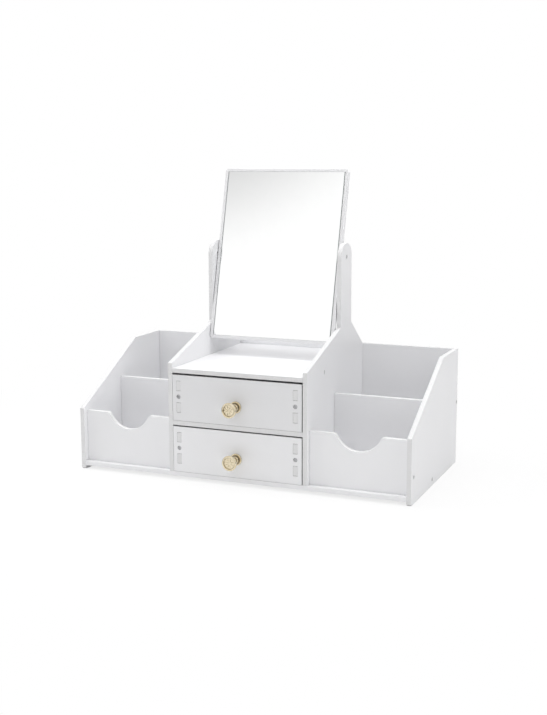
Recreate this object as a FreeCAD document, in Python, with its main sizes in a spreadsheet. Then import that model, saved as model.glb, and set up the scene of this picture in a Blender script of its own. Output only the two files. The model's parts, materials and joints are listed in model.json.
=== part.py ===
import FreeCAD, Part
import Sketcher
import os
import re

# A table-top vanity organiser: two stacked drawers between two centre panels, an open
# compartment on each side of them, and a mirror that tilts between the centre panels' posts.
# X runs to the right, Y to the rear and Z up. The origin is on the table, under the middle
# of the whole object, knobs included.

doc = FreeCAD.newDocument("vanity_mirror_with_drawers")
sheet = doc.addObject("Spreadsheet::Sheet", "sizes")

# Each size is written once, in millimetres (the lean in degrees).
DRIVING_SIZES = (
    ("overall_width", 500.0, "outside of one side panel to outside of the other"),
    ("overall_depth", 240.0, "front edges of the panels to the rear of the back board"),
    ("board", 6.5, "thickness of every structural board"),
    ("foot_height", 5.5, "underside of the base plate above the table"),
    ("foot_rounding", 4.0, "round at the side panels' front bottom corner"),
    ("side_front_height", 90.8, "side panels at their front edge"),
    ("side_top_length", 84.5, "level top of the side panels, measured from the rear"),
    ("back_rise", 12.0, "back board above the top shelf"),
    ("bay_width", 196.0, "clear width between the centre panels"),
    ("tray_lip", 6.8, "centre panels above the shelf at their front edge"),
    ("centre_slope_rise", 42.2, "rise of the centre panels' front slope"),
    ("rear_slope_rise", 40.7, "foot of the post's rear edge above the back board"),
    ("post_width", 44.5, "post from its front edge to its rear edge"),
    ("post_inset", 61.0, "rear edge of the post from the rear of the object"),
    ("post_head", 20.2, "top of the post above the pivot"),
    ("post_rounding", 19.5, "round at the two top corners of a post"),
    ("front_panel_setback", 8.6, "compartment front panels behind the front edges"),
    ("front_panel_drop", 4.1, "compartment front panels below the side panels' front top"),
    ("notch_radius", 34.0, "finger notch in a compartment front panel"),
    ("notch_depth", 22.7, "depth of the finger notch"),
    ("notch_rounding", 6.5, "round where the notch meets the panel's top"),
    ("divider_setback", 107.3, "front face of a divider behind the front edges"),
    ("divider_height", 107.5, "divider above the base plate"),
    ("groove_depth", 2.0, "grooves that hold the dividers and the board between the drawers"),
    ("groove_play", 0.15, "board in its grooves, each side"),
    ("groove_stop", 8.0, "grooves of the board between the drawers, behind the front edges"),
    ("drawer_front_height", 65.15, "both drawer fronts"),
    ("drawer_left_clearance", 0.3, "drawers to the left centre panel, nearer than to the right one"),
    ("drawer_right_clearance", 1.3, "drawers to the right centre panel"),
    ("drawer_under_clearance", 0.25, "drawer above the board it runs on"),
    ("upper_gap", 2.85, "upper drawer front to the shelf"),
    ("lower_gap", 1.9, "lower drawer front to the board between the drawers"),
    ("drawer_rear_play", 0.3, "closed drawer to the back board"),
    ("drawer_side_inset", 6.0, "outside of a drawer side from the end of the drawer front"),
    ("drawer_side_drop", 3.4, "top of the drawer sides below the top of the front"),
    ("drawer_bottom_board", 4.0, "thickness of a drawer bottom"),
    ("drawer_bottom_lift", 4.0, "drawer bottom above the underside of the drawer"),
    ("drawer_groove_depth", 3.0, "grooves that hold a drawer bottom"),
    ("tenon_height", 13.6, "tenons at the ends of the drawer sides"),
    ("joint_lift", 3.4, "middle of a drawer corner joint above the middle of the side"),
    ("tenon_side_clearance", 0.1, "tenon in its mortise, across the board"),
    ("tenon_end_clearance", 0.35, "tenon in its mortise, above and below"),
    ("knob_drop", 6.2, "knob below the middle of a drawer front"),
    ("knob_projection", 24.5, "knob in front of the drawer front"),
    ("knob_head_diameter", 21.5, "head of a knob"),
    ("knob_head_thickness", 4.6, "head of a knob"),
    ("knob_rim_width", 2.4, "raised ring round the knob's face"),
    ("knob_rim_depth", 1.2, "knob's face below its ring"),
    ("knob_rim_slope", 0.6, "inner slope of that ring"),
    ("knob_rim_rounding", 1.0, "outer edge of that ring"),
    ("knob_back_bevel", 2.0, "slope round the back of a knob's head"),
    ("knob_back_rise", 1.5, "slope round the back of a knob's head, along the knob"),
    ("knob_neck_diameter", 8.0, "neck of a knob"),
    ("knob_neck_slope", 4.0, "both ends of the neck, where it widens, along the knob"),
    ("knob_foot_flare", 1.5, "foot of a knob beyond its neck, all round"),
    ("knob_flange_diameter", 17.0, "flange between a knob and its drawer front"),
    ("knob_flange_thickness", 2.4, "flange between a knob and its drawer front"),
    ("knob_flange_bevel", 1.2, "slope round the flange's front edge"),
    ("knob_thread_depth", 14.0, "depth of the threaded hole in a knob"),
    ("knob_screw_diameter", 4.0, "machine screw that holds a knob"),
    ("knob_screw_head_diameter", 7.2, "head of the knob screw, inside the drawer"),
    ("knob_screw_head_height", 2.2, "head of the knob screw, inside the drawer"),
    ("knob_screw_bite", 9.0, "knob screw's length beyond the drawer front"),
    ("screw_length", 20.0, "self-tapping screws, head included"),
    ("screw_diameter", 3.0, "self-tapping screws"),
    ("screw_head_diameter", 5.4, "self-tapping and corner screws"),
    ("screw_head_height", 1.8, "self-tapping and corner screws"),
    ("screw_head_sink", 0.4, "screw heads below the board's face"),
    ("screw_head_play", 0.35, "screw head in its counterbore, all round"),
    ("screw_play", 0.1, "screw in its hole, all round"),
    ("screw_point", 3.0, "pointed end of a self-tapping screw"),
    ("driver_slot_width", 0.8, "arms of the cross in a screw's head"),
    ("driver_slot_length", 3.2, "arms of the cross in a screw's head"),
    ("driver_slot_depth", 1.0, "depth of the cross in a screw's head"),
    ("side_screw_height", 37.0, "screw through a side panel into the front panel"),
    ("base_screw_setback", 106.0, "screw through a side panel into the base plate"),
    ("back_screw_height", 92.5, "screw through a side panel into the back board"),
    ("shelf_screw_setback", 65.6, "shelf screws from the front, base screws from both ends"),
    ("shelf_screw_spacing", 120.0, "two screws through the back board into a shelf, apart"),
    ("post_screw_low", 45.0, "lower screw through the back board into a centre panel"),
    ("post_screw_high", 130.0, "upper screw through the back board into a centre panel"),
    ("panel_screw_spacing", 90.0, "two screws from below into a front panel, apart"),
    ("base_screw_spacing", 350.0, "outer screws through the back board into the base, apart"),
    ("corner_screw_length", 17.0, "machine screw at a drawer corner, head included"),
    ("nut_width", 5.5, "square nut at a drawer corner"),
    ("nut_thickness", 2.4, "square nut at a drawer corner"),
    ("nut_setback", 5.0, "nut from the shoulder of the drawer side"),
    ("nut_play", 0.1, "nut in its slot, each side"),
    ("end_room", 1.0, "room beyond the end of a machine screw"),
    ("mirror_lean", 14.45, "mirror leaning back at rest"),
    ("frame_height", 255.0, "mirror frame"),
    ("frame_rear_cover", 1.2, "frame behind the threaded inserts"),
    ("insert_cover", 0.25, "frame between the threaded inserts and the glass pocket"),
    ("frame_corner", 4.0, "round at the frame's corners"),
    ("frame_edge", 0.8, "round along the frame's front and rear edges"),
    ("frame_side_width", 4.6, "frame beside the glass pocket"),
    ("frame_end_width", 4.35, "frame above and below the glass pocket"),
    ("mirror_clearance", 20.55, "mirror above the shelf when it stands upright"),
    ("pivot_gap", 0.8, "mirror frame to a post"),
    ("pivot_play", 0.2, "spacer washer to a post"),
    ("glass_thickness", 2.0, "mirror glass"),
    ("glass_recess", 0.2, "glass behind the front of the frame"),
    ("glass_side_clearance", 1.2, "glass to the pocket's sides"),
    ("glass_end_clearance", 0.15, "glass to the pocket's top and bottom"),
    ("tape_thickness", 0.35, "mounting tape behind the glass"),
    ("tape_width", 20.0, "mounting tape behind the glass"),
    ("tape_margin", 15.0, "tape from the edges of the glass"),
    ("pivot_diameter", 3.0, "shank of a pivot screw"),
    ("pivot_head_diameter", 5.6, "head of a pivot screw"),
    ("pivot_head_height", 2.2, "head of a pivot screw"),
    ("pivot_head_sink", 0.3, "head of a pivot screw below the post's face"),
    ("pivot_running", 0.08, "pivot screw in the post's hole, all round"),
    ("pivot_seat_play", 0.15, "underside of the pivot screw's head to its seat"),
    ("insert_diameter", 4.0, "threaded insert in the frame's edge"),
    ("insert_length", 10.0, "threaded insert in the frame's edge"),
    ("insert_play", 0.05, "insert in its hole and screw in its thread"),
    ("washer_diameter", 10.5, "spacer washer on a pivot screw"),
)

for row, (alias, value, meaning) in enumerate(DRIVING_SIZES, start=1):
    sheet.set(f"A{row}", meaning)
    sheet.set(f"B{row}", str(value))
    sheet.setAlias(f"B{row}", alias)
doc.recompute()

# Places and fits worked out from those sizes. Heights are above the table and depths are in
# the object's own frame, so front is the plane of the panels' front edges.
PLACES = {
    "front": "-(overall_depth - knob_projection) / 2",
    "rear": "(overall_depth + knob_projection) / 2",
    "back_inside": "rear - board",
    "side_inside": "overall_width / 2 - board",
    "bay_half": "bay_width / 2",
    "centre_outside": "bay_half + board",
    "base_top": "foot_height + board",
    "lower_drawer_floor": "base_top + drawer_under_clearance",
    "mid_board_bottom": "lower_drawer_floor + drawer_front_height + lower_gap",
    "mid_board_top": "mid_board_bottom + board",
    "upper_drawer_floor": "mid_board_top + drawer_under_clearance",
    "shelf_bottom": "upper_drawer_floor + drawer_front_height + upper_gap",
    "shelf_top": "shelf_bottom + board",
    "back_height": "shelf_top + back_rise",
    "front_panel_top": "side_front_height - front_panel_drop",
    "front_panel_face": "front + front_panel_setback",
    "front_panel_middle": "(side_inside + centre_outside) / 2",
    "divider_face": "front + divider_setback",
    "pivot_height": "shelf_top + mirror_clearance + frame_height / 2",
    "pivot_depth": "rear - post_inset - post_width / 2",
    "frame_width": "bay_width - 2 * pivot_gap",
    "pocket_width": "frame_width - 2 * frame_side_width",
    "pocket_height": "frame_height - 2 * frame_end_width",
    "glass_width": "pocket_width - 2 * glass_side_clearance",
    "glass_height": "pocket_height - 2 * glass_end_clearance",
    "pocket_floor": "-(insert_diameter / 2 + insert_cover)",
    "glass_rear": "pocket_floor - tape_thickness",
    "glass_face": "glass_rear - glass_thickness",
    "frame_front": "glass_face - glass_recess",
    "frame_rear": "insert_diameter / 2 + frame_rear_cover",
    "pivot_length": "board + pivot_gap + insert_length - end_room",
    "drawer_half": "bay_half - (drawer_left_clearance + drawer_right_clearance) / 2",
    "drawer_middle": "(drawer_left_clearance - drawer_right_clearance) / 2",
    "drawer_side_outside": "drawer_half - drawer_side_inset",
    "drawer_side_inside": "drawer_side_outside - board",
    "drawer_side_middle": "drawer_side_outside - board / 2",
    "drawer_rear": "back_inside - drawer_rear_play",
    "drawer_front_inside": "front + board",
    "drawer_rear_inside": "drawer_rear - board",
    "drawer_side_height": "drawer_front_height - drawer_side_drop",
    "corner_joint_height": "drawer_side_height / 2 + joint_lift",
    "tenon_pitch": "drawer_side_height / 4",
    "knob_height": "drawer_front_height / 2 - knob_drop",
}

WORD = re.compile(r"[a-z][a-z_]*[a-z]")
ALIASES = {alias for alias, value, meaning in DRIVING_SIZES}
ACROSS = FreeCAD.Vector(1, 0, 0)
REARWARD = FreeCAD.Vector(0, 1, 0)
UP = FreeCAD.Vector(0, 0, 1)
SIDES = (("left", -1), ("right", 1))
FULL_TURN = 360
SAME_PLACE = 0.01  # millimetres within which two coordinates count as one


def formula(text):
    """An expression for the document, with every word of a formula tied to the sheet."""
    def tied(match):
        word = match.group(0)
        if word in PLACES:
            return f"({formula(PLACES[word])})"
        return f"{sheet.Name}.{word}" if word in ALIASES else word
    return WORD.sub(tied, str(text))


def worth(text):
    """The number that a formula gives now, for the first guess of a sketch."""
    return float(sheet.evalExpression(formula(text)))


def bind(thing, slot, text):
    thing.setExpression(slot, formula(text))


def place(thing, x=None, y=None, z=None):
    for axis, text in (("x", x), ("y", y), ("z", z)):
        if text is not None:
            bind(thing, f"Placement.Base.{axis}", text)


def mirrored(sign, low, high):
    """A span on the right of the middle, or the same span on the left of it."""
    return (low, high) if sign > 0 else (f"-({high})", f"-({low})")


def signed(sign, text):
    return text if sign > 0 else f"-({text})"


# Blocks, rods and cuts

def block(name, x, y, z):
    """A rectangular solid between a low and a high formula on each axis."""
    solid = doc.addObject("Part::Box", name)
    for size, axis, (low, high) in zip(("Length", "Width", "Height"), "xyz", (x, y, z)):
        bind(solid, size, f"({high}) - ({low})")
        bind(solid, f"Placement.Base.{axis}", low)
    return solid


def rod(name, radius, length, direction, x, y, z):
    """A round bar that starts at a place and runs along a direction."""
    solid = doc.addObject("Part::Cylinder", name)
    solid.Placement = FreeCAD.Placement(FreeCAD.Vector(), FreeCAD.Rotation(UP, direction))
    bind(solid, "Radius", radius)
    bind(solid, "Height", length)
    place(solid, x, y, z)
    return solid


def together(name, pieces):
    """Separate solids kept as one object."""
    group = doc.addObject("Part::Compound", name)
    group.Links = pieces
    return group


def joined(name, pieces):
    """Solids that become one."""
    whole = doc.addObject("Part::MultiFuse", name)
    whole.Shapes = pieces
    whole.Refine = True
    return whole


def cut(name, blank, cutters):
    """A blank with everything in cutters taken away from it."""
    piece = doc.addObject("Part::Cut", name)
    piece.Base = blank
    piece.Tool = together(f"{name}_cutters", cutters)
    return piece


# Sketched bodies

def sketch_on(body, name, plane_role, offset=None):
    sketch = body.newObject("Sketcher::SketchObject", name)
    planes = [item for item in body.Origin.OriginFeatures if item.Role == plane_role]
    sketch.AttachmentSupport = (planes[0], [""])
    sketch.MapMode = "FlatFace"
    if offset is not None:
        bind(sketch, "AttachmentOffset.Base.z", offset)
    return sketch


def hold(sketch, line, end, axis, text):
    """Keep one coordinate of a line's end, or a circle's centre, at a formula."""
    if text == "0":
        sketch.addConstraint(Sketcher.Constraint("PointOnObject", line, end, -2 if axis == "X" else -1))
        return
    number = sketch.addConstraint(
        Sketcher.Constraint(f"Distance{axis}", -1, 1, line, end, worth(text)))
    sketch.setExpression(f"Constraints[{number}]", formula(text))


def draw_outline(sketch, corners):
    """A closed outline of straight lines through corners, each a pair of formulas."""
    points = [FreeCAD.Vector(worth(x), worth(y), 0) for x, y in corners]
    count = len(corners)
    for index in range(count):
        line = Part.LineSegment(points[index], points[(index + 1) % count])
        sketch.addGeometry(line, False)
    for index in range(count):
        sketch.addConstraint(Sketcher.Constraint("Coincident", index, 2, (index + 1) % count, 1))
    for index, (x, y) in enumerate(corners):
        hold(sketch, index, 1, "X", x)
        hold(sketch, index, 1, "Y", y)


def draw_circle(sketch, x, y, radius):
    centre = FreeCAD.Vector(worth(x), worth(y), 0)
    circle = sketch.addGeometry(Part.Circle(centre, UP, worth(radius)), False)
    hold(sketch, circle, 3, "X", x)
    hold(sketch, circle, 3, "Y", y)
    number = sketch.addConstraint(Sketcher.Constraint("Radius", circle, worth(radius)))
    sketch.setExpression(f"Constraints[{number}]", formula(radius))


def rectangle(x, y):
    return [(x[0], y[0]), (x[1], y[0]), (x[1], y[1]), (x[0], y[1])]


def body_from(name, plane_role, corners, thickness, offset=None):
    """A body padded from an outline on one of its origin planes."""
    body = doc.addObject("PartDesign::Body", name)
    sketch = sketch_on(body, f"{name}_outline", plane_role, offset)
    draw_outline(sketch, corners)
    pad = body.newObject("PartDesign::Pad", f"{name}_pad")
    pad.Profile = sketch
    bind(pad, "Length", thickness)
    doc.recompute()
    return body


def pocket(body, sketch, depth):
    """Cut a sketch into a body and make sure that it took something away."""
    before = body.Shape.Volume
    feature = body.newObject("PartDesign::Pocket", f"{sketch.Name}_pocket")
    feature.Profile = sketch
    bind(feature, "Length", depth)
    doc.recompute()
    if body.Shape.Volume >= before:
        raise RuntimeError(f"{feature.Name} cut nothing")
    return feature


def turned(name, corners):
    """A body turned about Z from an outline of radius and height."""
    body = doc.addObject("PartDesign::Body", name)
    sketch = sketch_on(body, f"{name}_outline", "XZ_Plane")
    draw_outline(sketch, corners)
    turning = body.newObject("PartDesign::Revolution", f"{name}_turning")
    turning.Profile = sketch
    turning.ReferenceAxis = (sketch, ["V_Axis"])
    turning.Angle = FULL_TURN
    doc.recompute()
    return body


def edges_at(shape, **where):
    """Names of the edges whose every point has the given coordinates."""
    names = []
    for index, edge in enumerate(shape.Edges, start=1):
        box = edge.BoundBox
        spans = {"x": (box.XMin, box.XMax), "y": (box.YMin, box.YMax), "z": (box.ZMin, box.ZMax)}
        near = [abs(end - worth(text)) < SAME_PLACE
                for axis, text in where.items() for end in spans[axis]]
        if all(near):
            names.append(f"Edge{index}")
    return names


def round_edges(body, name, places, radius):
    """Round the edges of a body at each of the places."""
    tip = body.Tip
    names = [edge for where in places for edge in edges_at(tip.Shape, **where)]
    if len(names) < len(places):
        raise RuntimeError(f"{name} found too few edges")
    feature = body.newObject("PartDesign::Fillet", name)
    feature.Base = (tip, names)
    bind(feature, "Radius", radius)
    doc.recompute()
    return feature


# Fasteners. A screw is turned once with its head's top at the board's face, and every screw
# of the object is a link to it. Its hole is a second turned body, linked the same way.

def cross_recess(body, top, prefix):
    """Two crossed slots in a screw's head, whose top is at a height."""
    half_width = "driver_slot_width / 2"
    half_length = "driver_slot_length / 2"
    arms = ((half_length, half_width), (half_width, half_length))
    for index, (reach, width) in enumerate(arms):
        sketch = sketch_on(body, f"{prefix}_arm_{index}", "XY_Plane", top)
        draw_outline(sketch, rectangle((f"-{reach}", reach), (f"-{width}", width)))
        feature = body.newObject("PartDesign::Pocket", f"{prefix}_slot_{index}")
        feature.Profile = sketch
        feature.Reversed = True
        bind(feature, "Length", "driver_slot_depth")
        doc.recompute()


def screw_body(name, head_radius, head_top, head_height, radius, length, point):
    seat = f"{head_top} + {head_height}"
    corners = [("0", head_top), (head_radius, head_top), (head_radius, seat), (radius, seat)]
    if point == "0":
        corners += [(radius, length), ("0", length)]
    else:
        corners += [(radius, f"{length} - {point}"), ("0", length)]
    body = turned(name, corners)
    cross_recess(body, head_top, name)
    return body


def hole_body(name, head_radius, seat, radius, length):
    return turned(name, [("0", "0"), (head_radius, "0"), (head_radius, seat),
                         (radius, seat), (radius, length), ("0", length)])


wood_screw = screw_body(
    "wood_screw_pattern", "screw_head_diameter / 2", "screw_head_sink", "screw_head_height",
    "screw_diameter / 2", "screw_length", "screw_point")
wood_screw_hole = hole_body(
    "wood_screw_hole", "screw_head_diameter / 2 + screw_head_play",
    "screw_head_sink + screw_head_height", "screw_diameter / 2 + screw_play",
    "screw_length + screw_play")
corner_screw = screw_body(
    "corner_screw_pattern", "screw_head_diameter / 2", "screw_head_sink", "screw_head_height",
    "screw_diameter / 2", "corner_screw_length", "0")
corner_screw_hole = hole_body(
    "corner_screw_hole", "screw_head_diameter / 2 + screw_head_play",
    "screw_head_sink + screw_head_height", "screw_diameter / 2 + screw_play",
    "corner_screw_length + end_room")
pivot_screw = screw_body(
    "pivot_screw_pattern", "pivot_head_diameter / 2", "pivot_head_sink", "pivot_head_height",
    "pivot_diameter / 2", "pivot_length", "0")
pivot_hole = hole_body(
    "pivot_hole", "pivot_head_diameter / 2 + screw_head_play",
    "pivot_head_sink + pivot_head_height + pivot_seat_play",
    "pivot_diameter / 2 + pivot_running", "pivot_length")


def linked(pattern, name, direction, x, y, z):
    copy = doc.addObject("App::Link", name)
    copy.LinkedObject = pattern
    copy.Placement = FreeCAD.Placement(FreeCAD.Vector(), FreeCAD.Rotation(UP, direction))
    place(copy, x, y, z)
    return copy


screw_groups = {}
holes = {}


def fasten(group, boards, direction, x, y, z):
    """A self-tapping screw with its head at a board's face, and its hole in each board."""
    members = screw_groups.setdefault(group, [])
    tag = f"{group}_{len(members) + 1}"
    members.append(linked(wood_screw, tag, direction, x, y, z))
    hole = linked(wood_screw_hole, f"{tag}_hole", direction, x, y, z)
    for board in boards:
        holes.setdefault(board, []).append(hole)


# Where the carcass is screwed together

for side, sign in SIDES:
    outward = ACROSS * sign
    inward = ACROSS * -sign
    side_face = signed(sign, "overall_width / 2")
    centre_face = signed(sign, "centre_outside")
    bay_face = signed(sign, "bay_half")
    panel_middle = "front_panel_face + board / 2"
    side_group = f"{side}_side_screws"
    fasten(side_group, (f"{side}_side_panel", f"{side}_front_panel"), inward,
           side_face, panel_middle, "side_screw_height")
    fasten(side_group, (f"{side}_side_panel", "base_plate"), inward,
           side_face, "front + base_screw_setback", "foot_height + board / 2")
    fasten(side_group, (f"{side}_side_panel", "back_board"), inward,
           side_face, "rear - board / 2", "back_screw_height")
    fasten("shelf_screws", (f"{side}_centre_panel", "top_shelf"), inward,
           centre_face, "front + shelf_screw_setback", "shelf_bottom + board / 2")
    for setback in ("front + shelf_screw_setback", "back_inside - shelf_screw_setback"):
        fasten("base_plate_screws", ("base_plate", f"{side}_centre_panel"), UP,
               signed(sign, "bay_half + board / 2"), setback, "foot_height")
    fasten("bay_screws", (f"{side}_centre_panel", f"{side}_front_panel"), outward,
           bay_face, panel_middle, "side_screw_height")
    for spread in (-1, 1):
        fasten("base_plate_screws", ("base_plate", f"{side}_front_panel"), UP,
               f"{signed(sign, 'front_panel_middle')} + {spread} * panel_screw_spacing / 2",
               panel_middle, "foot_height")
    for height in ("post_screw_low", "post_screw_high"):
        fasten("back_board_screws", ("back_board", f"{side}_centre_panel"), -REARWARD,
               signed(sign, "bay_half + board / 2"), "rear", height)
    for shelf, height in (("top_shelf", "shelf_bottom + board / 2"),
                          ("drawer_mid_board", "mid_board_bottom + board / 2")):
        fasten("back_board_screws", ("back_board", shelf), -REARWARD,
               signed(sign, "shelf_screw_spacing / 2"), "rear", height)
for position in ("-base_screw_spacing / 2", "0", "base_screw_spacing / 2"):
    fasten("back_board_screws", ("back_board", "base_plate"), -REARWARD,
           position, "rear", "foot_height + board / 2")


# Carcass boards

inside_width = ("-side_inside", "side_inside")
in_bay = ("-bay_half", "bay_half")


def side_panel(side, sign):
    """A side panel: low at the front, sloping up to a level top at the rear."""
    name = f"{side}_side_panel"
    depth = "overall_depth"
    outline = [("0", "0"), (depth, "0"), (depth, "back_height"),
               ("overall_depth - side_top_length", "back_height"), ("0", "side_front_height")]
    body = body_from(f"{name}_blank", "YZ_Plane", outline, "board")
    round_edges(body, f"{name}_foot", [{"y": "0", "z": "0"}], "foot_rounding")
    low = mirrored(sign, "side_inside", "overall_width / 2")[0]
    place(body, low, "front", None)
    groove = block(f"{name}_groove",
                   mirrored(sign, "side_inside - board", "side_inside + groove_depth"),
                   ("divider_face - groove_play", "divider_face + board + groove_play"),
                   ("base_top", "base_top + divider_height + groove_play"))
    return cut(name, body, holes[name] + [groove])


def centre_panel(side, sign):
    """A centre panel that rises in a slope to the post that carries the mirror."""
    name = f"{side}_centre_panel"
    post_rear = "overall_depth - post_inset"
    post_front = f"{post_rear} - post_width"
    inner_depth = "overall_depth - board"
    post_top = "pivot_height + post_head"
    outline = [("0", "base_top"), (inner_depth, "base_top"), (inner_depth, "back_height"),
               (post_rear, "back_height + rear_slope_rise"), (post_rear, post_top),
               (post_front, post_top), (post_front, "shelf_top + tray_lip + centre_slope_rise"),
               ("0", "shelf_top + tray_lip")]
    body = body_from(f"{name}_blank", "YZ_Plane", outline, "board")
    round_edges(body, f"{name}_head",
                [{"y": post_front, "z": post_top}, {"y": post_rear, "z": post_top}], "post_rounding")
    low = mirrored(sign, "bay_half", "centre_outside")[0]
    place(body, low, "front", None)
    groove = block(f"{name}_groove",
                   mirrored(sign, "centre_outside - groove_depth", "centre_outside + board"),
                   ("divider_face - groove_play", "divider_face + board + groove_play"),
                   ("base_top", "base_top + divider_height + groove_play"))
    shelf_groove = block(f"{name}_shelf_groove",
                         mirrored(sign, "bay_half - board", "bay_half + groove_depth"),
                         ("front + groove_stop - groove_play", "rear"),
                         ("mid_board_bottom - groove_play", "mid_board_top + groove_play"))
    pivot = linked(pivot_hole, f"{name}_pivot_hole", ACROSS * -sign,
                   signed(sign, "centre_outside"), "pivot_depth", "pivot_height")
    return cut(name, body, holes[name] + [groove, shelf_groove, pivot])


def front_panel(side, sign):
    """A compartment's front panel with a rounded finger notch in its top edge."""
    name = f"{side}_front_panel"
    width = "side_inside - centre_outside"
    height = "front_panel_top - base_top"
    body = body_from(f"{name}_blank", "XZ_Plane",
                     rectangle((f"-({width}) / 2", f"({width}) / 2"), ("0", height)), "board")
    notch = sketch_on(body, f"{name}_notch", "XZ_Plane", "board")
    draw_circle(notch, "0", f"{height} + notch_radius - notch_depth", "notch_radius")
    pocket(body, notch, "board")
    chord = "sqrt(notch_radius ^ 2 - (notch_radius - notch_depth) ^ 2)"
    round_edges(body, f"{name}_notch_corners",
                [{"x": f"-{chord}", "z": height}, {"x": chord, "z": height}], "notch_rounding")
    place(body, signed(sign, "front_panel_middle"), "front_panel_face + board", "base_top")
    return cut(name, body, holes[name])


def divider(side, sign):
    span = mirrored(sign, "centre_outside - groove_depth + groove_play",
                    "side_inside + groove_depth - groove_play")
    return block(f"{side}_divider", span, ("divider_face", "divider_face + board"),
                 ("base_top", "base_top + divider_height"))


def drawer_mid_board():
    """The board between the drawers. Its ends stand in grooves that stop short of the front."""
    reach = "bay_half + groove_depth - groove_play"
    rise = ("mid_board_bottom", "mid_board_top")
    middle = block("drawer_mid_board_middle", in_bay, ("front", "back_inside"), rise)
    ends = block("drawer_mid_board_ends", (f"-({reach})", reach),
                 ("front + groove_stop", "back_inside"), rise)
    return cut("drawer_mid_board", joined("drawer_mid_board_blank", [middle, ends]),
               holes["drawer_mid_board"])


carcass = []
for side, sign in SIDES:
    carcass += [side_panel(side, sign), centre_panel(side, sign), front_panel(side, sign),
                divider(side, sign)]

carcass += [
    cut("base_plate",
        block("base_plate_blank", inside_width, ("front", "back_inside"), ("foot_height", "base_top")),
        holes["base_plate"]),
    cut("back_board",
        block("back_board_blank", inside_width, ("back_inside", "rear"), ("foot_height", "back_height")),
        holes["back_board"]),
    cut("top_shelf",
        block("top_shelf_blank", in_bay, ("front", "back_inside"), ("shelf_bottom", "shelf_top")),
        holes["top_shelf"]),
    drawer_mid_board(),
]
carcass += [together(group, members) for group, members in screw_groups.items()]


# Drawers

def knob(level, floor):
    """A turned knob, its flange and the screw that holds both to a drawer front."""
    height = f"{floor} + knob_height"
    head = "knob_head_diameter / 2"
    neck = "knob_neck_diameter / 2"
    face = "knob_projection - knob_rim_depth"
    back = "knob_projection - knob_head_thickness"
    rim = f"{head} - knob_rim_width"
    shoulder = f"{back} + knob_back_rise"
    corners = [("0", "knob_flange_thickness"), (f"{neck} + knob_foot_flare", "knob_flange_thickness"),
               (neck, "knob_flange_thickness + knob_neck_slope"), (neck, f"{back} - knob_neck_slope"),
               (f"{head} - knob_back_bevel", back), (head, shoulder),
               (head, "knob_projection - knob_rim_rounding"),
               (f"{head} - knob_rim_rounding", "knob_projection"),
               (f"{rim} + knob_rim_slope", "knob_projection"), (rim, face), ("0", face)]
    pull = turned(f"{level}_knob_blank", corners)
    pull.Placement = FreeCAD.Placement(FreeCAD.Vector(), FreeCAD.Rotation(UP, -REARWARD))
    place(pull, None, "front", height)
    thread = rod(f"{level}_knob_thread", "knob_screw_diameter / 2 + screw_play", "knob_thread_depth",
                 -REARWARD, None, "front", height)
    knob_piece = cut(f"{level}_knob", pull, [thread])
    edge = "knob_flange_diameter / 2"
    flange = turned(f"{level}_knob_flange_blank",
                    [("0", "0"), (edge, "0"), (edge, "knob_flange_thickness / 2"),
                     (f"{edge} - knob_flange_bevel", "knob_flange_thickness"),
                     ("0", "knob_flange_thickness")])
    flange.Placement = FreeCAD.Placement(FreeCAD.Vector(), FreeCAD.Rotation(UP, -REARWARD))
    place(flange, None, "front", height)
    flange_piece = cut(f"{level}_knob_flange", flange, [thread])
    head_height = "knob_screw_head_height"
    screw = screw_body(f"{level}_knob_screw", "knob_screw_head_diameter / 2", "0", head_height,
                       "knob_screw_diameter / 2", f"{head_height} + board + knob_screw_bite", "0")
    screw.Placement = FreeCAD.Placement(FreeCAD.Vector(), FreeCAD.Rotation(UP, -REARWARD))
    place(screw, None, f"drawer_front_inside + {head_height}", height)
    through = rod(f"{level}_knob_hole", "knob_screw_diameter / 2 + screw_play", "board",
                  -REARWARD, None, "drawer_front_inside", height)
    return [knob_piece, flange_piece, screw], through


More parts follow.
